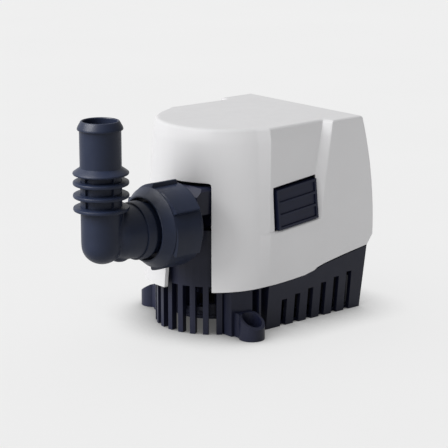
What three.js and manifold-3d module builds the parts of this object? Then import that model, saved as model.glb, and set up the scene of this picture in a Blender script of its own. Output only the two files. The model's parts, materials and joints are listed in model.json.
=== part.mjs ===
// Automatic bilge pump: strainer base, pump body with riser, motor, float switch, lift-off cover,
// union nut and stepped hose elbow. Millimetres, +Z up. X runs along the pump with the hose end at -X.
// Shapes are written with the motor's axis at x = y = 0 and the floor at z = 0, and the whole group
// is then moved so that the origin is at the bottom centre of its bounding box.

import * as THREE from 'three';
import { mergeVertices } from 'three/addons/utils/BufferGeometryUtils.js';
import Module from 'manifold-3d';

const wasm = await Module();
wasm.setup();

// ---------------------------------------------------------------- driving sizes

const GAP = 0.3; // clearance between pieces that touch
const WALL = 2.4; // moulded wall of the cover and the base

const COVER_TOP = 110;
const COVER_EDGE = 24.6; // lower edge of the cover at its rounded end
const SIDE_FOOT = 35.1; // half width of the flat sides at the floor
const SIDE_FLARE = 0.0967; // how much the half width grows per millimetre of height

const HOSE_AXIS_Y = -17; // the outlet and the elbow lie off centre
const HOSE_AXIS_Z = 62.8;
const SPIGOT_X = -85.75;
const SPIGOT_TOP = 121.6;
const RING_RADIUS = 14; // rings and cone for the larger hose
const BORE_RADIUS = 8.55;

const SLOT_NEAR = -28.9; // y of the two edges of the cover's outlet slot at the floor
const SLOT_FAR = -3.7;
const SLOT_TAPER = 0.0434; // how far the near edge moves inwards per millimetre of height
const SLOT_TOP = 82;
const slotNear = (z) => SLOT_NEAR + SLOT_TAPER * z;

const LATCH = { x: 23.15, z: 67.65, width: 30, height: 23.8, tilt: THREE.MathUtils.degToRad(5.7) };

const BACK_AT_TOP = 66.3; // x of the cover's back at its top edge
const BACK_MAX = 82.35; // x of its widest point
const BASE_BACK = 77.3; // x of the base's back wall at the floor
const BASE_FRONT = 7.4; // x where the base's flat sides begin

const COMB_RADIUS = 31.1;
const COMB_THICK = 3.5;
const COMB_SLOT_TOP = 26;
const DECK = { low: 26, high: 28.5 };

// screw ear on the far side; the near one is its mirror image. Its top slopes down outwards between
// these two heights, over the run that starts at slopeFrom
const EAR = { x: -8.2, y: 41.7, radius: 6.8, neck: 4.8, high: 12.9, low: 6.3, slopeFrom: 37.6, slopeRun: 11 };

const LENGTH_MIN = SPIGOT_X - RING_RADIUS;
const CENTRE_X = (LENGTH_MIN + BACK_MAX) / 2;

// ---------------------------------------------------------------- materials

const plastic = (color, roughness) => new THREE.MeshStandardMaterial({ color, roughness, metalness: 0 });
const metal = (color, roughness) => new THREE.MeshStandardMaterial({ color, roughness, metalness: 1 });

const materials = {
  shell: plastic(0xdcdde0, 0.42),
  dark: plastic(0x34363f, 0.55),
  button: plastic(0x26293a, 0.5),
  rubber: plastic(0x1b1b1d, 0.85),
  inner: plastic(0x53565e, 0.6),
  foam: plastic(0x2a2a2c, 0.85),
  amber: plastic(0x6a4a2c, 0.5),
  steel: metal(0xb9bcc0, 0.3),
  zinc: metal(0x9a9da1, 0.4),
  copper: metal(0xb8703a, 0.35),
  iron: metal(0x5a5c60, 0.5),
  ferrite: plastic(0x2b2b2d, 0.7),
  carbon: plastic(0x1d1d1f, 0.6),
  glass: plastic(0xbfd6c8, 0.2),
};

// ---------------------------------------------------------------- solid helpers

function signedVolume(positions, indices) {
  let total = 0;
  const corner = [new THREE.Vector3(), new THREE.Vector3(), new THREE.Vector3()];
  for (let i = 0; i < indices.length; i += 3) {
    corner.forEach((point, k) => point.fromArray(positions, indices[i + k] * 3));
    total += corner[0].dot(corner[1].clone().cross(corner[2]));
  }
  return total;
}

// turns a closed geometry into a solid, dropping collapsed triangles and fixing its winding
function solidOf(geometry) {
  const bare = geometry.clone();
  bare.deleteAttribute('normal');
  bare.deleteAttribute('uv');
  const merged = mergeVertices(bare, 1e-4);
  const positions = merged.getAttribute('position').array;
  const source = merged.index.array;
  const indices = [];
  for (let i = 0; i < source.length; i += 3) {
    const [a, b, c] = [source[i], source[i + 1], source[i + 2]];
    if (a !== b && b !== c && c !== a) indices.push(a, b, c);
  }
  if (signedVolume(positions, indices) < 0) indices.reverse();
  return new wasm.Manifold(new wasm.Mesh({
    numProp: 3,
    vertProperties: Float32Array.from(positions),
    triVerts: Uint32Array.from(indices),
  }));
}

function geometryOf(solid) {
  const mesh = solid.getMesh();
  const geometry = new THREE.BufferGeometry();
  geometry.setAttribute('position', new THREE.BufferAttribute(Float32Array.from(mesh.vertProperties), 3));
  geometry.setIndex(Array.from(mesh.triVerts));
  geometry.computeVertexNormals();
  return geometry;
}

const join = (...solids) => solids.reduce((sum, next) => sum.add(next));
const cut = (solid, ...tools) => tools.reduce((rest, tool) => rest.subtract(tool), solid);

function box([x0, x1], [y0, y1], [z0, z1]) {
  const geometry = new THREE.BoxGeometry(x1 - x0, y1 - y0, z1 - z0);
  geometry.translate((x0 + x1) / 2, (y0 + y1) / 2, (z0 + z1) / 2);
  return solidOf(geometry);
}

// a solid of revolution about +Z from [radius, height] points that start and end on the axis
// or close on themselves
function turned(profile, segments = 32) {
  const geometry = new THREE.LatheGeometry(profile.map(([r, z]) => new THREE.Vector2(r, z)), segments);
  geometry.rotateX(Math.PI / 2);
  return solidOf(geometry);
}

const disc = (radius, z0, z1, segments) => turned([[0, z0], [radius, z0], [radius, z1], [0, z1]], segments);
const ring = (inner, outer, z0, z1, segments) =>
  turned([[inner, z0], [outer, z0], [outer, z1], [inner, z1], [inner, z0]], segments);

// turns a solid made about +Z so that its axis runs along +X, on the outlet's axis
function alongOutlet(solid) {
  return solid.rotate([0, 90, 0]).translate([0, HOSE_AXIS_Y, HOSE_AXIS_Z]);
}

function prism(outline, z0, z1) {
  const shape = new THREE.Shape(outline.map(([x, y]) => new THREE.Vector2(x, y)));
  const geometry = new THREE.ExtrudeGeometry(shape, { depth: z1 - z0, bevelEnabled: false });
  geometry.translate(0, 0, z0);
  return solidOf(geometry);
}

// an outline in x and z, extruded across y
function sidePrism(outline, y0, y1) {
  const shape = new THREE.Shape(outline.map(([x, z]) => new THREE.Vector2(x, z)));
  const geometry = new THREE.ExtrudeGeometry(shape, { depth: y1 - y0, bevelEnabled: false });
  geometry.rotateX(Math.PI / 2);
  geometry.translate(0, y1, 0);
  return solidOf(geometry);
}

// an outline in y and z, extruded along x
function frontPrism(outline, x0, x1) {
  const shape = new THREE.Shape(outline.map(([y, z]) => new THREE.Vector2(y, z)));
  const geometry = new THREE.ExtrudeGeometry(shape, { depth: x1 - x0, bevelEnabled: false });
  geometry.rotateX(Math.PI / 2);
  geometry.rotateZ(Math.PI / 2);
  geometry.translate(x0, 0, 0);
  return solidOf(geometry);
}

// a closed solid through a stack of outlines, each a list of [x, y, z] with the same number of points;
// the two ends are closed by a fan about their middle, so an outline has to be seen whole from there
function loft(rings) {
  const count = rings[0].length;
  const last = (rings.length - 1) * count;
  const middle = (outline) => [0, 1, 2].map((k) => outline.reduce((sum, point) => sum + point[k], 0) / count);
  const positions = [...rings.flat(2), ...middle(rings[0]), ...middle(rings.at(-1))];
  const bottom = rings.length * count;
  const indices = [];
  for (let i = 0; i < count; i += 1) {
    const next = (i + 1) % count;
    for (let base = 0; base < last; base += count) {
      const above = base + count;
      indices.push(base + i, base + next, above + next, base + i, above + next, above + i);
    }
    indices.push(next, i, bottom, last + i, last + next, bottom + 1);
  }
  const geometry = new THREE.BufferGeometry();
  geometry.setAttribute('position', new THREE.Float32BufferAttribute(positions, 3));
  geometry.setIndex(indices);
  return solidOf(geometry);
}

const mirrored = (solid) => solid.mirror([0, 1, 0]);

// ---------------------------------------------------------------- shared shape laws

const sideY = (z) => SIDE_FOOT + SIDE_FLARE * z;
const mix = (low, high, z) => THREE.MathUtils.mapLinear(z, COVER_EDGE, COVER_TOP, low, high);

const END_CENTRE = [1.2, 12.3]; // centre of the cover's rounded end, at its lower edge and at its top
const END_RADIUS = [37.6, 40.8];
const CREASE_X = [6.9, 4.3]; // vertical crease where the rounded end meets the flat side
const CREASE_STRIP = 6.5; // length of the flat strip in front of the crease

function backX(z) {
  const down = COVER_TOP - z;
  const turnIn = 41; // below this height the back tucks in towards the base
  if (z < turnIn) return BACK_MAX - (turnIn - z) * 0.65;
  return BACK_AT_TOP + 0.3976 * down - 0.00238 * down * down;
}

// lower edge of the cover in side view: level round the end, then rising to the back in a soft S
const LOWER_EDGE = [
  [-60, 24.6], [6.9, 24.6], [18.6, 25.1], [32, 26.2], [39.5, 28], [47, 30.2],
  [62, 32.9], [78, 35.6], [92, 38],
];

// one outline of the cover at height z, shrunk by inset; recessed makes the side step in ahead of
// the slanting band that runs up from the latch window
function coverOutline(z, inset, recessed) {
  const centre = mix(...END_CENTRE, z);
  const radius = mix(...END_RADIUS, z) - inset;
  const creaseX = mix(...CREASE_X, z);
  const arcEnd = Math.acos((creaseX - CREASE_STRIP - centre) / radius);
  const arcSteps = 8;
  const half = [];
  for (let i = 0; i <= arcSteps; i += 1) {
    const angle = THREE.MathUtils.lerp(Math.PI, arcEnd, i / arcSteps);
    half.push([centre + radius * Math.cos(angle), radius * Math.sin(angle)]);
  }
  const frontY = recessed ? THREE.MathUtils.mapLinear(z, 55, COVER_TOP, 39.5, 42) : sideY(z);
  const rearY = recessed ? THREE.MathUtils.mapLinear(z, 55, COVER_TOP, 39.6, 40.8) : sideY(z);
  const bandZ = Math.max(z, 57);
  const bandLeft = bandZ < 80 ? THREE.MathUtils.mapLinear(bandZ, 57, 80, 39.9, 36.8)
    : THREE.MathUtils.mapLinear(bandZ, 80, COVER_TOP, 36.8, 41.6);
  const bandRight = THREE.MathUtils.mapLinear(bandZ, 57, COVER_TOP, 41.2, 44.1);
  half.push([creaseX, frontY - inset]);
  half.push([bandLeft + inset * 0.8, rearY - inset]);
  half.push([bandRight + inset, sideY(z) - inset]);
  const corner = 1.4;
  const back = backX(z) - inset;
  half.push([back - corner, sideY(z) - inset]);
  half.push([back, sideY(z) - inset - corner]);
  const other = half.slice(1).reverse().map(([x, y]) => [x, -y]);
  return [...half, ...other].reverse().map(([x, y]) => [x, y, z]);
}

// a block that holds everything below (or above) the cover's lower edge, moved by lift
function lowerEdgeBlock(lift, floor) {
  const top = LOWER_EDGE.map(([x, z]) => [x, z + lift]);
  return sidePrism([...top, [92, floor], [-60, floor]], -70, 70);
}

// rectangle of the latch window, in x and z, shrunk by a margin on each side
function latchOutline({ left = 0, right = 0, bottom = 0, top = 0 }) {
  const { x, z, width, height, tilt } = LATCH;
  const corners = [
    [-width / 2 + left, -height / 2 + bottom],
    [width / 2 - right, -height / 2 + bottom],
    [width / 2 - right, height / 2 - top],
    [-width / 2 + left, height / 2 - top],
  ];
  return corners.map(([u, v]) => [
    x + u * Math.cos(tilt) - v * Math.sin(tilt),
    z + u * Math.sin(tilt) + v * Math.cos(tilt),
  ]);
}

// ---------------------------------------------------------------- cover and latches

const SPRING_SEAT = { x: [17, 29], y: [25, 27.3], foot: 60 };

function makeCover() {
  const ledge = 55;
  const shrunkTop = coverOutline(COVER_TOP, 1.6, true).map(([x, y]) => [x, y, COVER_TOP]);
  const outside = loft([
    coverOutline(20, 0, false),
    coverOutline(41, 0, false),
    coverOutline(ledge, 0, false),
    coverOutline(ledge + 0.4, 0, true),
    coverOutline(68, 0, true),
    coverOutline(80, 0, true),
    coverOutline(92, 0, true),
    coverOutline(102, 0, true),
    coverOutline(COVER_TOP - 1.6, 0.3, true),
    shrunkTop,
  ]);
  const inside = loft([
    coverOutline(10, WALL, false),
    coverOutline(41, WALL, false).map(([x, y, z]) => [x, Math.sign(y) * Math.min(Math.abs(y), 36.6), z]),
    coverOutline(ledge, WALL, true),
    coverOutline(80, WALL, true),
    coverOutline(COVER_TOP - WALL, WALL, true),
  ]);
  const slotRadius = 2.5;
  const slotShoulder = SLOT_TOP - slotRadius;
  const near = slotNear(slotShoulder);
  const slot = frontPrism([
    [SLOT_NEAR, 0], [SLOT_FAR, 0], [SLOT_FAR, slotShoulder],
    [SLOT_FAR - slotRadius * 0.3, SLOT_TOP - slotRadius * 0.3], [SLOT_FAR - slotRadius, SLOT_TOP],
    [near + slotRadius, SLOT_TOP], [near + slotRadius * 0.3, SLOT_TOP - slotRadius * 0.3],
    [near, slotShoulder],
  ], -60, -12);
  const window = sidePrism(latchOutline({}), -50, -30);
  const seat = box(SPRING_SEAT.x, SPRING_SEAT.y, [SPRING_SEAT.foot, COVER_TOP - WALL + 1]);
  const shell = cut(outside, inside, lowerEdgeBlock(0, 0), slot, window, mirrored(window));
  return join(shell, seat, mirrored(seat));
}

const PAD_FACE = 41.4; // y of the thumb pad's face at rest
const PAD_PLATE = { face: 36.5, back: 35.1 }; // plate behind the window that keeps the pad in

function makeLatchButton() {
  const small = 0.4; // clearance on the right and at the bottom
  const wide = 1.7; // the dark gap left open on the left and at the top
  const overlap = -1.6; // how far the plate reaches behind the cover's wall
  const padOutline = latchOutline({ left: wide, right: small, bottom: small, top: wide });
  const plateOutline = latchOutline({ left: overlap, right: overlap, bottom: overlap, top: overlap });
  const pad = sidePrism(padOutline, -PAD_FACE, -PAD_PLATE.back);
  const plate = sidePrism(plateOutline, -PAD_PLATE.face, -PAD_PLATE.back);
  const frame = 1.3;
  const grooves = 3;
  const pitch = (LATCH.height - wide - small - frame) / grooves;
  const cuts = [];
  for (let i = 0; i < grooves; i += 1) {
    const bottom = small + frame + i * pitch;
    const outline = latchOutline({
      left: wide + frame,
      right: small + frame,
      bottom,
      top: LATCH.height - bottom - pitch + frame,
    });
    cuts.push(sidePrism(outline, -PAD_FACE - 1, -PAD_FACE + 0.8));
  }
  return cut(join(pad, plate), ...cuts);
}

// a coil spring along y between the thumb pad's plate and the seat that hangs from the cover's roof
function makeLatchSpring() {
  const wire = 0.45;
  const coilRadius = 3;
  const turns = 4;
  const from = -PAD_PLATE.back + GAP + wire;
  const to = -SPRING_SEAT.y[1] - GAP - wire;
  const points = [];
  const steps = turns * 8;
  for (let i = 0; i <= steps; i += 1) {
    const angle = (i / 8) * Math.PI * 2;
    points.push(new THREE.Vector3(
      LATCH.x + coilRadius * Math.cos(angle),
      THREE.MathUtils.lerp(from, to, i / steps),
      LATCH.z + coilRadius * Math.sin(angle),
    ));
  }
  const section = new THREE.Shape();
  section.absarc(0, 0, wire, 0, Math.PI * 2);
  return solidOf(new THREE.ExtrudeGeometry(section, {
    steps,
    curveSegments: 2,
    extrudePath: new THREE.CatmullRomCurve3(points),
  }));
}

// ---------------------------------------------------------------- strainer base

const COMB = { first: 170, pitch: 13.333, width: 3 };
const SIDE_SLOT = { count: 6, x: 19.3, pitch: 9.35, width: 3.8, top: 15, rise: 1.47 };
const FLOAT_PIVOT = { x: 30, z: 15 };
const FLOAT_LUG = { inner: 11, outer: 14 };

const baseBackX = (z) => BASE_BACK + 0.05 * z;

function baseOutline(z, inset) {
  const corner = 1.2;
  const front = BASE_FRONT + inset;
  const back = baseBackX(z) - inset;
  const y = sideY(z) - inset;
  const half = [[front, y], [back - corner, y], [back, y - corner]];
  return [...half, ...half.map(([x, sy]) => [x, -sy]).reverse()].reverse().map(([x, sy]) => [x, sy, z]);
}

function makeEar() {
  const { x, y, radius, neck, high, low, slopeFrom, slopeRun } = EAR;
  const boss = disc(radius, 0, high, 40).translate([x, y, 0]);
  const root = box([x - neck, x + neck], [30, y], [0, high]);
  const above = frontPrism([
    [slopeFrom, high], [slopeFrom + slopeRun, low], [slopeFrom + slopeRun, high + 5], [slopeFrom, high + 5],
  ], x - 15, x + 15);
  return cut(join(boss, root), above);
}

// screw hole with a wide round sink above it
function earHole() {
  const screw = disc(3.1, -1, 30, 20);
  const sink = disc(5.2, 4, 30, 24);
  return join(screw, sink).translate([EAR.x, EAR.y, 0]);
}

function makeStrainerBase() {
  // rounded comb end: a ring wall with slots cut between the ribs, and a tall guard in front of the riser
  const combInner = COMB_RADIUS - COMB_THICK;
  let comb = ring(combInner, COMB_RADIUS, 0, DECK.high, 48);
  const slots = [];
  const slotCount = 12;
  const slotHalf = THREE.MathUtils.degToRad(COMB.pitch) / 2;
  const ribHalf = COMB.width / 2 / COMB_RADIUS;
  for (let i = 0; i < slotCount; i += 1) {
    const angle = THREE.MathUtils.degToRad(COMB.first - COMB.pitch * 4.5 + COMB.pitch * i);
    const reach = COMB_RADIUS + 3;
    const half = slotHalf - ribHalf;
    const tool = prism([
      [combInner - 3, -(combInner - 3) * Math.tan(half)],
      [reach, -reach * Math.tan(half)],
      [reach, reach * Math.tan(half)],
      [combInner - 3, (combInner - 3) * Math.tan(half)],
    ], -1, COMB_SLOT_TOP);
    slots.push(tool.rotate([0, 0, THREE.MathUtils.radToDeg(angle)]));
  }
  comb = cut(comb, ...slots, box([-3, 40], [-40, 40], [-1, DECK.high + 1]));
  const guard = ring(combInner + 1.3, COMB_RADIUS, DECK.low, 56.5, 48)
    .intersect(join(
      frontPrism([
        [slotNear(DECK.low) + 0.6, DECK.low], [SLOT_FAR - 0.6, DECK.low], [SLOT_FAR - 0.6, 57], [slotNear(57) + 0.6, 57],
      ], -40, -5),
      box([-40, -5], [SLOT_NEAR - 2, SLOT_FAR + 10], [DECK.low, 44]),
    ));

  // rear chamber: four flared walls with a floor, topped by the deck
  const outside = loft([baseOutline(0, 0), baseOutline(45, 0)]);
  const hollow = loft([baseOutline(1.8, WALL), baseOutline(46, WALL)]);
  const shell = cut(outside, hollow, lowerEdgeBlock(60 - GAP, 0).subtract(lowerEdgeBlock(-GAP, -30)));
  const walls = cut(shell, box([BASE_FRONT - 1, BASE_FRONT + WALL + 1], [-30, 30], [1.8, 60]));

  const deckRound = ring(26.6, COMB_RADIUS - 0.5, DECK.low, DECK.high, 48);
  const deckRear = box([0, 76.5], [-34.5, 34.5], [DECK.low, DECK.high]);
  const deck = cut(join(deckRound, deckRear), disc(26.6, 20, 40, 48));

  // upright lip that locates the cover
  const lipOut = box([18, 75], [-33.9, 33.9], [DECK.low + 1, 38.5]);
  const lipIn = box([10, 73.2], [-32.1, 32.1], [DECK.low, 40]);
  const lip = cut(lipOut, lipIn);

  // flat-faced blocks that carry the ears, and a thin wall edge ahead of each side wall
  const block = prism([[-14.7, -24], [-14.7, -32.9], [-2.7, -35.7], [-2.7, -24]], 0, 24);
  const blockTop = prism([[-14.7, -24], [-14.7, -30], [-2.7, -30], [-2.7, -24]], 20, DECK.high);
  const blocks = cut(join(block, blockTop), disc(combInner, -1, 40, 48));
  const fin = box([1.2, 2.6], [-36.6, -30], [0, DECK.high - 4]);
  const finTop = box([-3, 8], [-34, -29], [DECK.low - 3, DECK.high]);

  const pivotLug = cut(
    box([FLOAT_PIVOT.x - 4, FLOAT_PIVOT.x + 4], [FLOAT_LUG.inner, FLOAT_LUG.outer], [10, DECK.low + 1]),
    disc(1.5 + GAP, -20, 20, 16).rotate([90, 0, 0]).translate([FLOAT_PIVOT.x, 0, FLOAT_PIVOT.z]),
  );

  const nearSlots = [];
  for (let i = 0; i < SIDE_SLOT.count; i += 1) {
    const centre = SIDE_SLOT.x + SIDE_SLOT.pitch * i;
    const span = [centre - SIDE_SLOT.width / 2, centre + SIDE_SLOT.width / 2];
    nearSlots.push(box(span, [-45, -32.6], [-1, SIDE_SLOT.top + SIDE_SLOT.rise * i]));
  }
  const backSlots = [-27, -18, -9, 9, 18, 27].map((y) => box([70, 90], [y - 1.8, y + 1.8], [-1, 16]));
  const glandHole = disc(3.4 + GAP, 60, 95, 24).rotate([0, 90, 0]).translate([0, 0, 20]);
  const sides = [...nearSlots, ...nearSlots.map(mirrored)];

  const body = join(
    comb, guard, walls, deck, lip, blocks, mirrored(blocks), fin, mirrored(fin), finTop, mirrored(finTop),
    pivotLug, mirrored(pivotLug), makeEar(), mirrored(makeEar()),
  );
  const riserY = [RISER.y[0] - GAP, RISER.y[1] + GAP];
  const riserSpace = box([-40, RISER.x[1] + GAP], riserY, [DECK.low - 1, DECK.high + 1])
    .intersect(disc(COMB_RADIUS - COMB_THICK, 0, 100, 48));
  return cut(body, riserSpace, ...sides, ...backSlots, glandHole, earHole(), mirrored(earHole()),
    disc(26.6, -1, DECK.low - 0.01, 48), box([-14, 10], [-26, 26], [-1, DECK.low - 0.01]));
}

function makeCableGland() {
  const wallX = baseBackX(20);
  return turned([
    [2, -WALL - 3], [3.4, -WALL - 3], [3.4, GAP], [5.4, GAP], [5.4, 2], [3.6, 2.6], [3.2, 4], [2, 4],
    [2, -WALL - 3],
  ], 24).rotate([0, 90, 0]).translate([wallX, 0, 20]);
}

// ---------------------------------------------------------------- pump body, plate and impeller

const CHAMBER = { outer: 22, inner: 19.8, low: 8.3 };
const INLET_PLATE = { low: 6, high: 8, eye: 8 };
const FLANGE = { radius: 28.3, low: 28.8, high: 31 };
const RISER = { x: [-28.4, -18.9], y: [-26.6, -6.4], top: 79.8 };
const OUTLET_BOX = { x: [-31, -18.9], y: [-24.8, -5.2], z: [57, 79.8] };
const NECK = { radius: 11.6, collar: 17.6, back: -38.6, front: -51.6 };
const SCREW_ANGLES = [30, 110, 310];
const SCREW_CIRCLE = 23.6;

const screwPlaces = SCREW_ANGLES.map((degrees) => {
  const angle = THREE.MathUtils.degToRad(degrees);
  return [SCREW_CIRCLE * Math.cos(angle), SCREW_CIRCLE * Math.sin(angle)];
});

function makePumpBody() {
  const chamber = join(
    disc(CHAMBER.outer, CHAMBER.low, FLANGE.high, 36),
    disc(FLANGE.radius, FLANGE.low, FLANGE.high, 48).subtract(box([19, 40], [-40, 40], [0, 60])),
  );
  const bosses = screwPlaces.map(([x, y]) => disc(2.6, 16, FLANGE.high, 16).translate([x, y, 0]));
  const insideComb = disc(COMB_RADIUS - COMB_THICK - GAP, 0, 100, 48);
  const riser = box(RISER.x, RISER.y, [12, RISER.top]).intersect(insideComb);
  const { x, y, z } = OUTLET_BOX;
  const chamfer = 5;
  const slopeLow = z[1] - chamfer;
  const frontSlope = sidePrism([[x[0] - 1, slopeLow], [x[0] - 1, z[1] + 1], [x[0] + chamfer, z[1] + 1]], -40, 0);
  const outletBox = frontPrism([
    [y[0] + chamfer, z[0]], [y[1], z[0]], [y[1], z[1] - 1.5], [y[1] - 1.5, z[1]], [y[0] + 1.5, z[1]],
    [y[0], z[1] - 1.5], [y[0], z[0] + chamfer],
  ], x[0], x[1]).subtract(frontSlope);
  const ridge = (from) => [[NECK.collar, from], [NECK.collar, from + 1.2], [NECK.collar - 0.9, from + 2],
    [NECK.collar - 0.9, from + 3]];
  const neck = alongOutlet(turned([
    [0, NECK.front], [NECK.collar - 1.2, NECK.front],
    ...ridge(NECK.front + 1), ...ridge(NECK.front + 4), ...ridge(NECK.front + 7),
    [NECK.collar - 0.9, NECK.back - 1.5], [NECK.collar, NECK.back - 1.5], [NECK.collar, NECK.back],
    [NECK.radius, NECK.back], [NECK.radius, OUTLET_BOX.x[0] + 0.5], [0, OUTLET_BOX.x[0] + 0.5],
  ], 28));
  const cavity = disc(CHAMBER.inner, 0, 60, 36);
  const duct = box([-26, -20.8], [-24.4, -8.6], [14, HOSE_AXIS_Z + 8]);
  const throat = box([-24, -12], [-22, -10], [14, 21]);
  const bore = alongOutlet(disc(BORE_RADIUS, -60, -20.8, 24));
  const holes = screwPlaces.map(([sx, sy]) => disc(1.3, 19, 60, 12).translate([sx, sy, 0]));
  const overChamber = cavity.subtract(box([-40, -18.9], [-40, 40], [FLANGE.high - 2, 100]));
  const body = join(chamber, ...bosses, riser, outletBox, neck);
  return cut(body, overChamber, duct, throat, bore, ...holes);
}

// round plate that closes the chamber from below, with the inlet eye and a rim round it
const makeInletPlate = () => turned([
  [INLET_PLATE.eye, INLET_PLATE.low - 1.5], [INLET_PLATE.eye + 1.4, INLET_PLATE.low - 1.5],
  [INLET_PLATE.eye + 1.4, INLET_PLATE.low], [CHAMBER.outer, INLET_PLATE.low],
  [CHAMBER.outer, INLET_PLATE.high], [INLET_PLATE.eye, INLET_PLATE.high],
  [INLET_PLATE.eye, INLET_PLATE.low - 1.5],
], 36);

const PLATE = { low: 32, high: 34.6, radius: 27 };

function makeMotorPlate() {
  const body = turned([
    [4.3, 25.5], [CHAMBER.inner - 0.5, 25.5], [CHAMBER.inner - 0.5, PLATE.low], [PLATE.radius, PLATE.low],
    [PLATE.radius, PLATE.high], [4.3, PLATE.high], [4.3, 25.5],
  ], 36);
  const clearRiser = box([-40, RISER.x[1] + GAP], [-40, 40], [20, 60]);
  const holes = screwPlaces.map(([x, y]) => disc(1.7, 20, 60, 12).translate([x, y, 0]));
  return cut(body, clearRiser, ...holes);
}

function makePlateGasket() {
  const body = ring(CHAMBER.inner, 22.4, FLANGE.high + GAP * 0.8, PLATE.low - GAP * 0.8, 48);
  const holes = screwPlaces.map(([x, y]) => disc(2.9, 20, 60, 12).translate([x, y, 0]));
  return cut(body, box([-40, RISER.x[1] + GAP], [-40, 40], [20, 60]), ...holes);
}

function makePlateScrew([x, y]) {
  const head = PLATE.high + GAP;
  const profile = [[0, 20], [1, 20], [1, head], [2.6, head], [2.6, head + 1.7], [0, head + 1.7]];
  return turned(profile, 12).translate([x, y, 0]);
}

function makeImpeller() {
  const hub = ring(1.8, 5, 10.5, 24.5, 24);
  const disk = ring(4, 17.5, 20.5, 22, 32);
  const blades = [];
  const bladeCount = 5;
  for (let i = 0; i < bladeCount; i += 1) {
    const outline = [];
    const steps = 4;
    for (const offset of [0, 1.3]) {
      const edge = [];
      for (let s = 0; s <= steps; s += 1) {
        const radius = THREE.MathUtils.lerp(4.4, 17, s / steps);
        const angle = -0.9 * (s / steps) + offset / radius;
        edge.push([radius * Math.cos(angle), radius * Math.sin(angle)]);
      }
      outline.push(...(offset ? edge.reverse() : edge));
    }
    blades.push(prism(outline, 11.5, 21).rotate([0, 0, (360 / bladeCount) * i]));
  }
  return join(hub, disk, ...blades);
}

// ---------------------------------------------------------------- motor

const CAN = { radius: 17.5, wall: 1.2, low: 35, high: 86 };
const SHAFT_RADIUS = 1.5;
const STACK = { radius: 12.4, low: 46, high: 70 };

function makeMotorCan() {
  const inner = CAN.radius - CAN.wall;
  const floor = CAN.low + CAN.wall;
  return turned([
    [4.6, CAN.low], [CAN.radius, CAN.low], [CAN.radius, CAN.high], [inner, CAN.high], [inner, floor],
    [6.2, floor], [6.2, floor + 4], [4.6, floor + 4], [4.6, CAN.low],
  ], 32);
}

function makeEndCap() {
  const inner = CAN.radius - CAN.wall - GAP;
  return turned([
    [4.6, 84.5], [inner, 84.5], [inner, CAN.high + GAP], [CAN.radius, CAN.high + GAP], [CAN.radius, 89.5],
    [15.5, 91], [7, 91], [7, 95], [0, 95], [0, 93.4], [4.6, 93.4], [4.6, 84.5],
  ], 32);
}

function makeMagnet(centreDegrees) {
  const outer = CAN.radius - CAN.wall - GAP;
  const inner = STACK.radius + 0.9;
  const shape = new THREE.Shape();
  const half = THREE.MathUtils.degToRad(65);
  const centre = THREE.MathUtils.degToRad(centreDegrees);
  shape.absarc(0, 0, outer, centre - half, centre + half, false);
  shape.absarc(0, 0, inner, centre + half, centre - half, true);
  const geometry = new THREE.ExtrudeGeometry(shape, { depth: 30, bevelEnabled: false, curveSegments: 10 });
  geometry.translate(0, 0, 43);
  return solidOf(geometry);
}

const POLES = 3;

// laminated stack: a core with three T-shaped poles
function makeArmature() {
  const core = ring(SHAFT_RADIUS + GAP, 4.4, STACK.low, STACK.high, 16);
  const parts = [core];
  for (let i = 0; i < POLES; i += 1) {
    const neck = box([3.6, 11], [-1.7, 1.7], [STACK.low, STACK.high]);
    const shoe = ring(10.2, STACK.radius, STACK.low, STACK.high, 36)
      .intersect(prism([[0, 0], [20, -22], [20, 22]], STACK.low - 1, STACK.high + 1));
    parts.push(join(neck, shoe).rotate([0, 0, (360 / POLES) * i]));
  }
  return join(...parts);
}

function makeWinding(index) {
  const over = 2.2; // how far the copper stands beyond the stack's ends
  const outer = box([5, 9.8], [-5.2, 5.2], [STACK.low - over, STACK.high + over])
    .intersect(disc(9.8, 0, 90, 32));
  const inner = box([4, 11], [-1.7 - GAP, 1.7 + GAP], [STACK.low - GAP, STACK.high + GAP]);
  const wedge = prism([[3.2, 0], [20, -9.7], [20, 9.7]], 30, 90);
  return cut(outer.intersect(wedge), inner).rotate([0, 0, (360 / POLES) * index]);
}

function makeCommutator() {
  const drum = ring(SHAFT_RADIUS + GAP, 4.6, 74, 82, 18);
  const grooves = [0, 1, 2].map((i) => box([4, 6], [-0.35, 0.35], [75, 83]).rotate([0, 0, 60 + 120 * i]));
  const rim = ring(SHAFT_RADIUS + GAP, 5.6, 73, 74.6, 18);
  return join(cut(drum, ...grooves), rim);
}

const BRUSH = { inner: 4.9, outer: 9.5, low: 76.2, high: 80.2 };

function makeBrush() {
  return box([-2, 2], [-BRUSH.outer, -BRUSH.inner], [BRUSH.low, BRUSH.high]);
}

// flat blade that presses the brush inwards, hung from the end cap
function makeBrushArm() {
  return join(
    box([-1.6, 1.6], [-BRUSH.outer - 0.9, -BRUSH.outer - GAP], [BRUSH.low, 83.6]),
    box([-1.6, 1.6], [-13, -BRUSH.outer - GAP], [83, 83.6]),
    box([-1.6, 1.6], [-13, -12.4], [83, 84.2]),
  );
}

const makeShaft = () => turned([
  [0, 10], [SHAFT_RADIUS, 10], [SHAFT_RADIUS, 92.6], [SHAFT_RADIUS - 0.4, 93], [0, 93],
], 16);
const makeBush = (low, high) => ring(SHAFT_RADIUS + GAP, 4.3, low, high, 16);

// ---------------------------------------------------------------- outlet: gasket, nut and elbow

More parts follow.
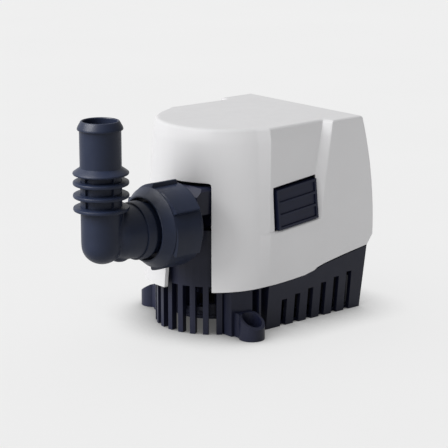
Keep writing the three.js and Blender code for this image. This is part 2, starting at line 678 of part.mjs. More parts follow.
function makeUnionNut() {
  const front = -60.5;
  const back = -37.3;
  const shoulder = -55.3;
  const lip = 16;
  const barrel = 20.8;
  // saw-tooth outline: the radius grows round each sixth of a turn and then steps back
  const teeth = 6;
  const toothHeight = 1.9;
  const phase = THREE.MathUtils.degToRad(3);
  const steps = 6;
  const outline = [];
  for (let tooth = 0; tooth < teeth; tooth += 1) {
    for (let s = 0; s <= steps; s += 1) {
      const angle = ((tooth + (s / steps) * 0.985) * Math.PI * 2) / teeth + phase;
      const radius = barrel - 0.3 + toothHeight * (s / steps) ** 1.5;
      outline.push([radius * Math.cos(angle), radius * Math.sin(angle)]);
    }
  }
  const ribbed = prism(outline, shoulder, back - 1.2);
  const plain = turned([
    [lip, front], [lip + 0.9, front], [barrel, shoulder], [barrel, back], [18.4, back], [18.4, -56],
    [lip, -56.8], [lip, front],
  ], 36);
  const hole = disc(19.6, shoulder - 1, back + 1, 36);
  return alongOutlet(join(plain, cut(ribbed, hole)));
}

const makeOutletGasket = () => alongOutlet(ring(9.4, 16.2, -52.6, -51.9, 28));

const RINGS = [77.6, 84.2, 90.6]; // heights of the three rings on the hose tail

function makeElbow() {
  const body = 10.4;
  const outside = turned([
    [0, 49.2], [4.6, 50.2], [8.2, 53], [body, 57.2],
    ...RINGS.flatMap((z) => [
      [body, z - 1.1], [RING_RADIUS - 0.6, z - 1.1], [RING_RADIUS, z - 0.4],
      [RING_RADIUS, z + 0.4], [RING_RADIUS - 0.6, z + 1.1], [body, z + 1.1],
    ]),
    [body, 94.6], [RING_RADIUS - 0.3, 94.8], [RING_RADIUS, 95.2], [RING_RADIUS, 95.9], [body, 98.4],
    [body, 117], [11.45, 117.4], [11.45, 118], [9.55, SPIGOT_TOP], [0, SPIGOT_TOP],
  ], 28).translate([SPIGOT_X, HOSE_AXIS_Y, 0]);
  const arm = alongOutlet(turned([
    [0, -82.4], [9.2, -81.8], [12.6, -77.2], [13.7, -69.5], [14.4, -64], [14.4, -55.7],
    [17.9, -55.7], [17.9, -53], [0, -53],
  ], 28));
  const riser = disc(BORE_RADIUS, HOSE_AXIS_Z, SPIGOT_TOP + 1, 24).translate([SPIGOT_X, HOSE_AXIS_Y, 0]);
  const across = alongOutlet(disc(BORE_RADIUS, SPIGOT_X, -50, 24));
  const knuckle = solidOf(new THREE.SphereGeometry(BORE_RADIUS, 24, 12))
    .translate([SPIGOT_X, HOSE_AXIS_Y, HOSE_AXIS_Z]);
  return cut(join(outside, arm), riser, across, knuckle);
}

// ---------------------------------------------------------------- float switch

function makeFloat() {
  const bodyOutline = [[38, -25], [70, -25], [71, -24], [71, 24], [70, 25], [38, 25], [37, 24], [37, -24]];
  const body = prism(bodyOutline, 4.5, 17);
  const arm = box([FLOAT_PIVOT.x, 40], [-8, 8], [12, 16]);
  const hub = disc(3.6, -10.4, 10.4, 20).rotate([90, 0, 0]).translate([FLOAT_PIVOT.x, 0, FLOAT_PIVOT.z]);
  const bore = disc(1.5 + GAP, -20, 20, 16).rotate([90, 0, 0]).translate([FLOAT_PIVOT.x, 0, FLOAT_PIVOT.z]);
  const pocket = box([42, 50], [-4, 4], [12, 18]);
  return cut(join(body, arm, hub), bore, pocket);
}

const makeFloatPin = () => disc(1.5, -14.6, 14.6, 16).rotate([90, 0, 0])
  .translate([FLOAT_PIVOT.x, 0, FLOAT_PIVOT.z]);
const makeFloatMagnet = () => box([42 + GAP, 50 - GAP], [-4 + GAP, 4 - GAP], [12 + GAP, 17]);

const SWITCH = { x: [36, 58], y: [-13, 13], low: DECK.high + GAP, high: 46 };

function makeSwitchHousing() {
  const { x, y, low, high } = SWITCH;
  return cut(box(x, y, [low, high]), box([x[0] + 2, x[1] - 2], [y[0] + 2, y[1] - 2], [low + 2, high + 1]));
}

function makeSwitchLid() {
  const { x, y, high } = SWITCH;
  return join(
    box(x, y, [high + GAP, high + 2.3]),
    box([x[0] + 2 + GAP, x[1] - 2 - GAP], [y[0] + 2 + GAP, y[1] - 2 - GAP], [high - 1.5, high + 1]),
  );
}

const makeReedSwitch = () => disc(1.6, -8, 8, 16).rotate([90, 0, 0]).translate([47, 0, SWITCH.low + 4.2]);

// ---------------------------------------------------------------- assembly

const pump = new THREE.Group();
pump.position.x = -CENTRE_X;

function add(name, solid, material) {
  const mesh = new THREE.Mesh(geometryOf(solid), material);
  mesh.name = name;
  pump.add(mesh);
}

add('strainer_base', makeStrainerBase(), materials.dark);
add('cable_gland', makeCableGland(), materials.rubber);
add('pump_body', makePumpBody(), materials.dark);
add('inlet_plate', makeInletPlate(), materials.dark);
add('plate_gasket', makePlateGasket(), materials.rubber);
add('motor_plate', makeMotorPlate(), materials.inner);
screwPlaces.forEach((place, i) => add(`plate_screw_${i + 1}`, makePlateScrew(place), materials.steel));
add('shaft_seal', ring(SHAFT_RADIUS + GAP, 4, 26, 31, 24), materials.rubber);

add('motor_can', makeMotorCan(), materials.zinc);
add('motor_end_cap', makeEndCap(), materials.inner);
add('magnet_front', makeMagnet(180), materials.ferrite);
add('magnet_rear', makeMagnet(0), materials.ferrite);
add('lower_bearing', makeBush(36, 40), materials.copper);
add('upper_bearing', makeBush(86, 92), materials.copper);
add('brush_near', makeBrush(), materials.carbon);
add('brush_far', mirrored(makeBrush()), materials.carbon);
add('brush_arm_near', makeBrushArm(), materials.copper);
add('brush_arm_far', mirrored(makeBrushArm()), materials.copper);

add('motor_shaft', makeShaft(), materials.steel);
add('armature', makeArmature(), materials.iron);
for (let i = 0; i < POLES; i += 1) add(`winding_${i + 1}`, makeWinding(i), materials.copper);
add('commutator', makeCommutator(), materials.copper);
add('impeller', makeImpeller(), materials.amber);

add('float', makeFloat(), materials.foam);
add('float_pin', makeFloatPin(), materials.steel);
add('float_magnet', makeFloatMagnet(), materials.ferrite);
add('switch_housing', makeSwitchHousing(), materials.inner);
add('switch_lid', makeSwitchLid(), materials.inner);
add('reed_switch', makeReedSwitch(), materials.glass);

add('cover', makeCover(), materials.shell);
add('latch_button_near', makeLatchButton(), materials.button);
add('latch_button_far', mirrored(makeLatchButton()), materials.button);
add('latch_spring_near', makeLatchSpring(), materials.steel);
add('latch_spring_far', mirrored(makeLatchSpring()), materials.steel);

add('outlet_gasket', makeOutletGasket(), materials.rubber);
add('union_nut', makeUnionNut(), materials.dark);
add('outlet_elbow', makeElbow(), materials.dark);

export default pump;
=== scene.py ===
import json
import math
import bpy
import bmesh
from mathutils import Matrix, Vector

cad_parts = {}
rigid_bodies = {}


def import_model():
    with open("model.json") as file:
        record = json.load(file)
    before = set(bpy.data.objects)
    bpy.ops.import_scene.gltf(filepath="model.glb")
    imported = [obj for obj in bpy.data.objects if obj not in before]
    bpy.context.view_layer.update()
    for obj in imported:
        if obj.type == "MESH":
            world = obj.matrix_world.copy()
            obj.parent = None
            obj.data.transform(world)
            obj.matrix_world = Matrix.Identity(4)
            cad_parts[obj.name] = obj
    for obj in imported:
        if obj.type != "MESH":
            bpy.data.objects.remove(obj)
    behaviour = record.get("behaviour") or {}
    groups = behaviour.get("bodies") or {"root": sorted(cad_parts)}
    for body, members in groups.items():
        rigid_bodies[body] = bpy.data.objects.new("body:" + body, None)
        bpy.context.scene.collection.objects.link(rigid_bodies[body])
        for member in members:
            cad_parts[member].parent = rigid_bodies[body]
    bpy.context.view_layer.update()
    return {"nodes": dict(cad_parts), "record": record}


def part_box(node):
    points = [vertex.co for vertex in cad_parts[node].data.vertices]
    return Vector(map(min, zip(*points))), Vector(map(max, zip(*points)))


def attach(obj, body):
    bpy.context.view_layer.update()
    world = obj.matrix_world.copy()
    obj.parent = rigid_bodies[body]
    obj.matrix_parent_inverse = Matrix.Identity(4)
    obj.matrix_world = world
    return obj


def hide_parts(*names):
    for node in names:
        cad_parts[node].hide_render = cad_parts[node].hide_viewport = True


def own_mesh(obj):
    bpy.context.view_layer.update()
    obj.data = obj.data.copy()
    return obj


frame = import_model()
NODES = frame["nodes"]
scene = bpy.context.scene

MM = 0.001
shaft_low, shaft_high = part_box("motor_shaft")
AXIS_X = (shaft_low.x + shaft_high.x) / 2  # the motor's axis; every shape below is measured from it


def at(x, y, z):
    """A point given in millimetres from the motor's axis and the floor, in the frame's metres."""
    return Vector((AXIS_X + x * MM, y * MM, z * MM))


# ---------------------------------------------------------------- materials
# Noise scales are counted per metre, and the depths of bumps are in metres.

NOISE_LOW, NOISE_HIGH = 0.3, 0.7  # nearly all values of a noise texture lie between these


class Nodes:
    """A material's node tree with short calls for the nodes used here."""

    def __init__(self, name):
        self.material = bpy.data.materials.new(name)
        self.material.use_nodes = True
        self.tree = self.material.node_tree
        self.shader = self.tree.nodes["Principled BSDF"]
        self.place = self.tree.nodes.new("ShaderNodeTexCoord").outputs["Object"]

    def link(self, source, socket):
        self.tree.links.new(source, socket)

    def noise(self, scale, detail=3.0, stretch=None):
        node = self.tree.nodes.new("ShaderNodeTexNoise")
        node.inputs["Scale"].default_value = scale
        node.inputs["Detail"].default_value = detail
        place = self.place
        if stretch:
            mapping = self.tree.nodes.new("ShaderNodeMapping")
            mapping.inputs["Scale"].default_value = stretch
            self.link(place, mapping.inputs["Vector"])
            place = mapping.outputs["Vector"]
        self.link(place, node.inputs["Vector"])
        return node.outputs["Fac"]

    def ramp(self, source, low, high, start=NOISE_LOW, end=NOISE_HIGH):
        node = self.tree.nodes.new("ShaderNodeValToRGB")
        node.color_ramp.elements[0].position = start
        node.color_ramp.elements[1].position = end
        node.color_ramp.elements[0].color = (*low, 1.0)
        node.color_ramp.elements[1].color = (*high, 1.0)
        self.link(source, node.inputs["Fac"])
        return node.outputs["Color"]

    def range(self, source, low, high):
        node = self.tree.nodes.new("ShaderNodeMapRange")
        node.inputs["From Min"].default_value = NOISE_LOW
        node.inputs["From Max"].default_value = NOISE_HIGH
        node.inputs["To Min"].default_value = low
        node.inputs["To Max"].default_value = high
        self.link(source, node.inputs["Value"])
        return node.outputs["Result"]

    def bump(self, source, distance, strength=1.0, under=None):
        node = self.tree.nodes.new("ShaderNodeBump")
        node.inputs["Distance"].default_value = distance
        node.inputs["Strength"].default_value = strength
        self.link(source, node.inputs["Height"])
        if under:
            self.link(under, node.inputs["Normal"])
        return node.outputs["Normal"]


def shade(color, factor):
    return tuple(channel * factor for channel in color)


BLOTCH, GLOSS, WAVE = 45.0, 160.0, 60.0  # noise scales of moulded plastic's colour, gloss and waviness
WAVE_DEPTH = 0.00006


def plastic(name, color, rough, grain=1400.0, depth=0.00002, variation=0.06, specular=0.5):
    """Moulded plastic: fine grain, slow waviness of the surface and slightly uneven colour and gloss."""
    m = Nodes(name)
    uneven = m.ramp(m.noise(BLOTCH), shade(color, 1 - variation), shade(color, 1 + variation))
    m.link(uneven, m.shader.inputs["Base Color"])
    m.link(m.range(m.noise(GLOSS), rough - 0.05, rough + 0.05), m.shader.inputs["Roughness"])
    wave = m.bump(m.noise(WAVE, 1.0), WAVE_DEPTH, 0.5)
    m.link(m.bump(m.noise(grain, 2.0), depth, 0.8, wave), m.shader.inputs["Normal"])
    m.shader.inputs["Specular IOR Level"].default_value = specular
    return m.material


TARNISH, LINES = 90.0, 700.0  # noise scales of metal's colour and of its fine lines
LINE_DEPTH = 0.00001


def metal(name, color, rough, stretch=(1.0, 1.0, 40.0)):
    """Drawn or turned metal with fine lines, which the last factor of stretch packs close along Z."""
    m = Nodes(name)
    m.shader.inputs["Metallic"].default_value = 1.0
    lines = m.noise(LINES, 2.0, stretch)
    m.link(m.ramp(m.noise(TARNISH), shade(color, 0.86), shade(color, 1.06)), m.shader.inputs["Base Color"])
    m.link(m.range(lines, rough - 0.07, rough + 0.1), m.shader.inputs["Roughness"])
    m.link(m.bump(lines, LINE_DEPTH, 0.6), m.shader.inputs["Normal"])
    return m.material


# plastics: name, colour, roughness, scale and depth of the grain, variation of the colour, specular level
# metals: name, colour, roughness, stretch of the lines
MATERIALS = {
    "shell": plastic("shell_plastic", (0.662, 0.659, 0.668), 0.40, 1100.0, 0.000012, 0.012, 0.3),
    "dark": plastic("dark_plastic", (0.0078, 0.0115, 0.0255), 0.42, 1500.0, 0.00003, 0.12, 0.22),
    "base": plastic("base_plastic", (0.0065, 0.0078, 0.019), 0.40, 1500.0, 0.00003, 0.12, 0.24),
    "button": plastic("button_plastic", (0.0075, 0.010, 0.027), 0.40, 1500.0, 0.00002, 0.08, 0.22),
    "rubber": plastic("black_rubber", (0.010, 0.010, 0.011), 0.72, 900.0, 0.00004, 0.12, 0.3),
    "inner": plastic("grey_plastic", (0.06, 0.062, 0.07), 0.5, 1200.0, 0.00002, 0.08),
    # the float's foam and the filled plastic are darkened to near black: painted shade for the hollow seen
    # through the base's slots and ribs
    "foam": plastic("float_foam", (0.012, 0.012, 0.013), 0.85, 500.0, 0.0002, 0.2, 0.2),
    "amber": plastic("filled_plastic", (0.03, 0.019, 0.013), 0.45, 700.0, 0.00003, 0.16),
    "steel": metal("bright_steel", (0.62, 0.63, 0.65), 0.26),
    "zinc": metal("plated_steel", (0.48, 0.49, 0.51), 0.36),
    "copper": metal("copper_wire", (0.58, 0.25, 0.10), 0.32, (1.0, 1.0, 12.0)),
    "iron": metal("stacked_steel", (0.17, 0.175, 0.185), 0.46, (1.0, 1.0, 60.0)),
    "ferrite": plastic("ferrite", (0.022, 0.022, 0.024), 0.62, 900.0, 0.00003, 0.2),
    "carbon": plastic("pressed_carbon", (0.012, 0.012, 0.013), 0.55, 1200.0, 0.00002, 0.15),
    "glass": plastic("reed_glass", (0.45, 0.62, 0.52), 0.15, 300.0, 0.00001, 0.1),
}

SLOT_OF = {part["node"]: part["material_slot"] for part in frame["record"]["subparts"]}
# these are a shade darker than the elbow and the nut
BASE_PARTS = ("strainer_base", "pump_body", "inlet_plate", "cable_gland")
for name, node in NODES.items():
    finish = "base" if name in BASE_PARTS else SLOT_OF[name]
    node.data.materials.clear()
    node.data.materials.append(MATERIALS[finish])

# ---------------------------------------------------------------- mesh helpers


def smooth_all(mesh):
    mesh.polygons.foreach_set("use_smooth", [True] * len(mesh.polygons))


def soften(made, width=0.3):
    """Rounds an object's sharp edges by a width in millimetres and shades it smoothly."""
    bevel = made.modifiers.new("edge rounding", "BEVEL")
    bevel.width = width * MM
    bevel.segments = 2
    bevel.limit_method = "ANGLE"
    bevel.angle_limit = math.radians(25)
    bevel.harden_normals = True
    bevel.use_clamp_overlap = True


for node in NODES.values():
    smooth_all(node.data)
    flat = node.modifiers.new("merge flat faces", "DECIMATE")
    flat.decimate_type = "DISSOLVE"
    flat.angle_limit = math.radians(1)
    soften(node)


def skin(name, points, faces):
    """A mesh from points in millimetres, with doubled points merged and the faces pointing out."""
    mesh = bpy.data.meshes.new(name)
    mesh.from_pydata([at(*point) for point in points], [], faces)
    mesh.validate()
    build = bmesh.new()
    build.from_mesh(mesh)
    bmesh.ops.remove_doubles(build, verts=build.verts, dist=0.002 * MM)
    bmesh.ops.recalc_face_normals(build, faces=build.faces)
    build.to_mesh(mesh)
    build.free()
    return mesh


def object_of(name, mesh):
    made = bpy.data.objects.new(name, mesh)
    scene.collection.objects.link(made)
    return made


def finished(name, mesh, slot, body, replaced=()):
    """An object with its material, riding on a body and standing for the replaced nodes."""
    smooth_all(mesh)
    mesh.materials.clear()
    mesh.materials.append(MATERIALS[slot])
    made = object_of(name, mesh)
    if replaced:
        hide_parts(*replaced)
    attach(made, body)
    return made


def piece(name, points, faces, slot, body, replaced=()):
    return finished(name, skin(name, points, faces), slot, body, replaced)


def weigh_normals(made):
    weighted = made.modifiers.new("even shading", "WEIGHTED_NORMAL")
    weighted.keep_sharp = True
    weighted.weight = 80


def shade_by_angle(made, degrees):
    """Smooth shading, with edges that turn by more than the angle kept sharp."""
    build = bmesh.new()
    build.from_mesh(made.data)
    for edge in build.edges:
        edge.smooth = len(edge.link_faces) == 2 and edge.calc_face_angle(0.0) < math.radians(degrees)
    build.to_mesh(made.data)
    build.free()
    weigh_normals(made)


def mark_rims(made, degrees):
    """Gives a bevel weight to every edge that turns by more than the angle."""
    weights = made.data.attributes.new("bevel_weight_edge", "FLOAT", "EDGE")
    build = bmesh.new()
    build.from_mesh(made.data)
    values = []
    for edge in build.edges:
        turn = edge.calc_face_angle(0.0) if len(edge.link_faces) == 2 else 0.0
        values.append(1.0 if turn > math.radians(degrees) else 0.0)
    build.free()
    weights.data.foreach_set("value", values)


def lerp(a, b, t):
    return a + (b - a) * t


def remap(value, low, high, first, last):
    return first + (last - first) * (value - low) / (high - low)


def through(points, place):
    """The height at a place on a line of straight stretches, given as (place, height) pairs."""
    for (x0, z0), (x1, z1) in zip(points, points[1:]):
        if place <= x1:
            return remap(max(place, x0), x0, x1, z0, z1)
    return points[-1][1]


# ---------------------------------------------------------------- cover
# Sizes are in millimetres. The two sides mirror each other, so y is the distance from the middle plane.

WALL = 2.4
COVER_EDGE, COVER_TOP = [corner.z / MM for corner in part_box("cover")]
SIDE_FOOT, SIDE_FLARE = 35.1, 0.0967  # y of the plain side at the floor, and its gain per millimetre up
TILT = math.tan(math.radians(5.7))  # slope of the latch window and of the recess's ledge
WINDOW = {"x": 23.15, "z": 67.65, "half_width": 14.93, "half_height": 11.96}
WINDOW_LEAN_FROM = 66.17  # the height at which the window's front edge is half a width from its middle
LOWER_EDGE = [  # (x, z)
    (-60, 24.6), (6.9, 24.6), (18.6, 25.1), (32, 26.2), (39.5, 28), (47, 30.2), (62, 32.9), (78, 35.6),
]
ABOVE_WINDOW = 2.4  # height from the window's top to the first full row above it
LEDGE_FROM, LEDGE_TO = 6.0, 48.0  # x between which the recess's lower ledge slopes
SLOT = {"near": 28.9, "far": 3.7, "top": 82.0, "radius": 2.5}
SLOT_TAPER = 0.0434  # how far the slot's near edge moves inwards per millimetre of height
SLOT_STILL = 14.0  # the points nearer the middle than this stay put as the slot's edge moves
BREAK, RIM_LEAN = 103.0, 0.14  # above this height the rim leans in by this share of the height

# values at the cover's lower edge and at its top
END_CENTRE = (1.2, 12.3)  # x of the round end's middle
END_RADIUS = (37.6, 40.8)
CREASE = (6.9, 4.3)  # x where the flat side begins
ARC_ENDS_BEFORE = 6.5  # the round end's arc stops this far before the crease; a flat strip goes on to it
CREASE_CLEAR = 2.0  # the window's front line stays at least this far behind the crease

# values at RECESS_FOOT and at the cover's top
RECESS_FOOT = 55.0
RECESS_FRONT_Y = (39.5, 42.0)
RECESS_REAR_Y = (39.6, 40.8)

# (z, x) of the two edges of the slanted band that ends the recess
BAND_LEFT = [(57.0, 39.9), (80.0, 36.8), (COVER_TOP, 41.6)]
BAND_RIGHT = [(57.0, 41.2), (COVER_TOP, 44.1)]
BAND_MITRE = 0.8  # share of an inset by which the band's left edge moves rearwards

BACK_KNEE, BACK_AT_KNEE, BACK_UNDERCUT = 41.0, 82.35, 0.65  # the back wall slopes in below the knee
BACK_TOP, BACK_SLOPE, BACK_CURVE = 66.3, 0.3976, 0.00238  # and curves in slowly above it
BACK_CORNER, SMALLEST_CORNER = 1.4, 0.3


def side_y(z):
    return SIDE_FOOT + SIDE_FLARE * z


def slot_near(z):
    return SLOT["near"] - SLOT_TAPER * z


def height_mix(ends, z):
    return remap(z, COVER_EDGE, COVER_TOP, *ends)


def back_x(z):
    if z < BACK_KNEE:
        return BACK_AT_KNEE - (BACK_KNEE - z) * BACK_UNDERCUT
    down = COVER_TOP - z
    return BACK_TOP + BACK_SLOPE * down - BACK_CURVE * down * down


def ledge_line(x):
    """Height of the recess's lower ledge, which is also the latch window's lower edge."""
    x = min(max(x, LEDGE_FROM), LEDGE_TO)
    return WINDOW["z"] - WINDOW["half_height"] + (x - WINDOW["x"]) * TILT


class CoverColumn:
    """One line of the cover's surface from its lower edge to its top.

    kind names the stretch that the line is on, and value says where on it: y on the slotted end, degrees
    on the back corner, and a share of the way elsewhere. On the panel it is negative before the window,
    and 0 to 1 from the window to the band. reach is x at half height, which sets the heights of the
    line's points.
    """

    def __init__(self, kind, value, reach):
        self.kind = kind
        self.value = value
        self.reach = reach

    def place(self, z, inset, recessed):
        """x and y at a height, inset by a distance from the outer surface."""
        centre = height_mix(END_CENTRE, z)
        radius = height_mix(END_RADIUS, z) - inset
        crease = height_mix(CREASE, z)
        end_angle = math.acos((centre - crease + ARC_ENDS_BEFORE) / radius)
        if self.kind == "slot":
            share = max(self.value - SLOT_STILL, 0.0) / (SLOT["near"] - SLOT_STILL)
            y = self.value - share * SLOT_TAPER * z
            return centre - math.sqrt(radius ** 2 - y ** 2), y
        if self.kind == "arc":
            angle = lerp(math.asin(slot_near(z) / radius), end_angle, self.value)
            return centre - radius * math.cos(angle), radius * math.sin(angle)
        side = side_y(z)
        front_y = remap(z, RECESS_FOOT, COVER_TOP, *RECESS_FRONT_Y) if recessed else side
        rear_y = remap(z, RECESS_FOOT, COVER_TOP, *RECESS_REAR_Y) if recessed else side
        if self.kind == "strip":
            start = Vector((centre - radius * math.cos(end_angle), radius * math.sin(end_angle)))
            spot = start.lerp(Vector((crease, front_y - inset)), self.value)
            return spot.x, spot.y
        band_left = through(BAND_LEFT, z)
        band_right = through(BAND_RIGHT, z)
        if self.kind == "panel":
            window_left = WINDOW["x"] - WINDOW["half_width"] - (z - WINDOW_LEAN_FROM) * TILT
            window_left = max(window_left, crease + CREASE_CLEAR)
            if self.value < 0:
                x = lerp(crease, window_left, 1 + self.value)
            else:
                x = lerp(window_left, band_left, self.value)
            return x, lerp(front_y, rear_y, (x - crease) / (band_left - crease)) - inset
        if self.kind == "band":
            x = lerp(band_left + inset * BAND_MITRE, band_right + inset, self.value)
            return x, lerp(rear_y, side, self.value) - inset
        back = back_x(z) - inset
        corner = max(BACK_CORNER - inset, SMALLEST_CORNER)
        if self.kind == "side":
            return lerp(band_right + inset, back - corner, self.value), side - inset
        if self.kind == "corner":
            turn = math.radians(self.value)
            x = back - corner + corner * math.sin(turn)
            return x, side - inset - corner + corner * math.cos(turn)
        return back, (side - inset - corner) * self.value


def cover_columns():
    """The lines of one half of the cover, from the middle of the round end to the middle of the back."""
    slot_places = (0, 3.7, 4.7, 6.2, 10, 14, 18, 22, 26.4, 27.9, 28.9)
    side_shares = (0.02, 0.08, 0.17, 0.35, 0.55, 0.75, 0.92, 0.985, 1.0)
    panel_shares = (0.06, 0.25, 0.5, 0.75, 0.94, 0.985)
    columns = [CoverColumn("slot", y, -30) for y in slot_places]
    columns += [CoverColumn("arc", t, -20) for t in (0.06, 0.2, 0.4, 0.6, 0.8, 0.95, 1.0)]
    columns += [CoverColumn("strip", t, 3) for t in (0.1, 0.35, 0.65, 0.9, 0.97)]
    columns += [CoverColumn("strip", 1.0, 6)]
    columns += [CoverColumn("panel", t, 7) for t in (-0.85, -0.5, 0.0)]
    columns += [CoverColumn("panel", t, lerp(8.2, 38.1, t)) for t in panel_shares]
    columns += [CoverColumn("band", t, lerp(38.6, 41.8, t)) for t in (0.0, 0.12, 0.5, 0.88, 1.0)]
    columns += [CoverColumn("side", t, lerp(42, 78, t)) for t in side_shares]
    columns += [CoverColumn("corner", angle, 78) for angle in (22.5, 45, 67.5, 90)]
    columns += [CoverColumn("back", t, 78) for t in (0.96, 0.75, 0.5, 0.25, 0.0)]
    return columns


# numbers of the columns at the slot's two edges, each running inwards from the edge
SLOT_NEAR_COLUMNS = (10, 9, 8)
SLOT_FAR_COLUMNS = (1, 2, 3)


def cover_rows(column):
    """Heights of one column's points below the top edge, and whether each is in the recess."""
    edge = through(LOWER_EDGE, column.reach)
    ledge = ledge_line(column.reach)
    fade = {"slot": 0.0, "arc": 0.0, "strip": column.value}.get(column.kind, 1.0)
    window_top = lerp(SLOT["top"] - SLOT["radius"], ledge + 2 * WINDOW["half_height"], fade)
    above = lerp(SLOT["top"], window_top + ABOVE_WINDOW, fade)
    rows = [(edge, False)]
    rows += [(lerp(edge, ledge, t), False) for t in (0.05, 0.25, 0.5, 0.75, 0.95)]
    rows += [(ledge - 0.7, False), (ledge - 0.1, True), (ledge + 0.8, True)]
    rows += [(lerp(ledge, window_top, t), True) for t in (0.3, 0.6, 0.9)]
    rows += [(window_top, True), (lerp(window_top, above, 0.6), True), (above, True)]
    rows += [(z, True) for z in (88, 95, BREAK - 1.5, BREAK, BREAK + 1.5)]
    return rows


# rows of cover_rows between which the window is open, and the row at the slot's top
WINDOW_ROWS = range(7, 12)
SLOT_TOP_ROW = 14

# depth below the top and inset of the rings that round the cover's top edge
TOP_EDGE = [(1.6, 0.0), (1.0, 0.12), (0.5, 0.42), (0.15, 0.95), (0.0, 1.6), (0.0, 2.6)]


def lean(column, z):
    """Extra inset of the rim above the break, on the round end and the recessed panel only."""
    share = {"band": 1 - column.value, "side": 0.0, "corner": 0.0, "back": 0.0}.get(column.kind, 1.0)
    return max(z - BREAK, 0.0) * RIM_LEAN * share


def cover_points(column, inset):
    points = []
    ceiling = COVER_TOP - WALL
    for z, recessed in cover_rows(column):
        z = min(z, ceiling) if inset else z
        x, y = column.place(z, inset + lean(column, z), recessed)
        points.append((x, y, z))
    for depth, pull in TOP_EDGE:
        z = COVER_TOP - depth - (WALL if inset else 0.0)
        x, y = column.place(z, inset + pull + lean(column, z), True)
        points.append((x, y, z))
    return points


def round_slot_corner(grid, columns, centre):
    """Moves the points round an upper corner of the slot onto an arc about a centre's y."""
    corner, second, third = columns
    spots = [(corner, SLOT_TOP_ROW - 2), (corner, SLOT_TOP_ROW - 1), (corner, SLOT_TOP_ROW)]
    spots += [(second, SLOT_TOP_ROW), (third, SLOT_TOP_ROW)]
    side = 1 if grid[corner][0][1] > centre else -1
    for step, (c, r) in enumerate(spots):
        turn = math.radians(90 * step / (len(spots) - 1))
        z = SLOT["top"] - SLOT["radius"] * (1 - math.sin(turn))
        y = centre + side * SLOT["radius"] * math.cos(turn)
        grid[c][r] = (grid[c][r][0], y, z)


def cover_grids(columns):
    """The points of the outer and the inner surface, as grid[column][row]."""
    grids = [[cover_points(column, inset) for column in columns] for inset in (0.0, WALL)]
    for grid in grids:
        round_slot_corner(grid, SLOT_NEAR_COLUMNS, slot_near(SLOT["top"]) - SLOT["radius"])
        round_slot_corner(grid, SLOT_FAR_COLUMNS, SLOT["far"] + SLOT["radius"])
    return grids


def make_cover():
    """The shell: an outer and an inner surface, joined by rims round the lower edge and the openings."""
    columns = cover_columns()
    outer, inner = cover_grids(columns)
    half = len(columns)
    rows = len(outer[0])
    window_from = next(i for i, c in enumerate(columns) if c.kind == "panel" and c.value == 0.0)
    window_to = next(i for i, c in enumerate(columns) if c.kind == "band")
    # columns 0 to half - 1 are on the near side, and half is added to the number of their mirror images
    loop = list(range(half)) + [half + i for i in range(half - 2, 0, -1)]
    points = []
    index = {}
    for layer, grid in (("out", outer), ("in", inner)):
        for c in range(half):
            for r in range(rows):
                for sign, key in ((-1, c), (1, half + c)):
                    x, y, z = grid[c][r]
                    index[layer, key, r] = len(points)
                    points.append((x, sign * y, z))

    def is_open(a, b, r):
        low, high = sorted((a % half, b % half))
        on_near_side = a < half and b < half
        between_slot_edges = SLOT_FAR_COLUMNS[0] <= low and high <= SLOT_NEAR_COLUMNS[0]
        if on_near_side and between_slot_edges and 0 <= r < SLOT_TOP_ROW:
            return True
        return window_from <= low and high <= window_to and r in WINDOW_ROWS

    faces = []
    count = len(loop)
    for i, a in enumerate(loop):
        b = loop[(i + 1) % count]
        before = loop[i - 1]
        after = loop[(i + 2) % count]
        for r in range(rows - 1):
            if is_open(a, b, r):
                continue
            for layer in ("out", "in"):
                square = [(a, r), (b, r), (b, r + 1), (a, r + 1)]
                faces.append([index[(layer, *corner)] for corner in square])
            rims = []
            if r == 0 or is_open(a, b, r - 1):
                rims.append(((a, r), (b, r)))
            if r < rows - 2 and is_open(a, b, r + 1):
                rims.append(((a, r + 1), (b, r + 1)))
            if is_open(before, a, r):
                rims.append(((a, r), (a, r + 1)))
            if is_open(b, after, r):
                rims.append(((b, r), (b, r + 1)))
            for first, last in rims:
                square = [("out", *first), ("out", *last), ("in", *last), ("in", *first)]
                faces.append([index[corner] for corner in square])
    for layer in ("out", "in"):
        for c in range(half - 1):
            ends = [(c, rows - 1), (c + 1, rows - 1), (half + c + 1, rows - 1), (half + c, rows - 1)]
            faces.append([index[(layer, *end)] for end in ends])
    cover = piece("cover_shell", points, faces, "shell", "cover", ["cover"])
    mark_rims(cover, 62)
    bevel = cover.modifiers.new("rim rounding", "BEVEL")
    bevel.limit_method = "WEIGHT"
    bevel.width = 0.45 * MM
    bevel.segments = 3
    weigh_normals(cover)


def make_spring_seat(side, sign):
    """One of the two plates hanging from the cover's roof that carry the latch springs."""
    left, right = 17.0, 29.0
    inner, outer = 25.0, 27.3
    foot, shoulder, roof = 60.0, 72.0, COVER_TOP - WALL + 0.3
    points = []
    for z, draft in ((foot, 0.5), (shoulder, 0.2), (roof, 0.0)):
        for x, y in ((left, inner), (right, inner), (right, outer), (left, outer)):
            x += math.copysign(draft, (left + right) / 2 - x)
            y += math.copysign(draft * 0.4, (inner + outer) / 2 - y)
            points.append((x, sign * y, z))
    faces = [[3, 2, 1, 0], [8, 9, 10, 11]]
    for level in (0, 4):
        for k in range(4):
            n = (k + 1) % 4
            faces.append([level + k, level + n, level + 4 + n, level + 4 + k])
    soften(piece(f"spring_seat_{side}", points, faces, "shell", "cover"), 0.35)


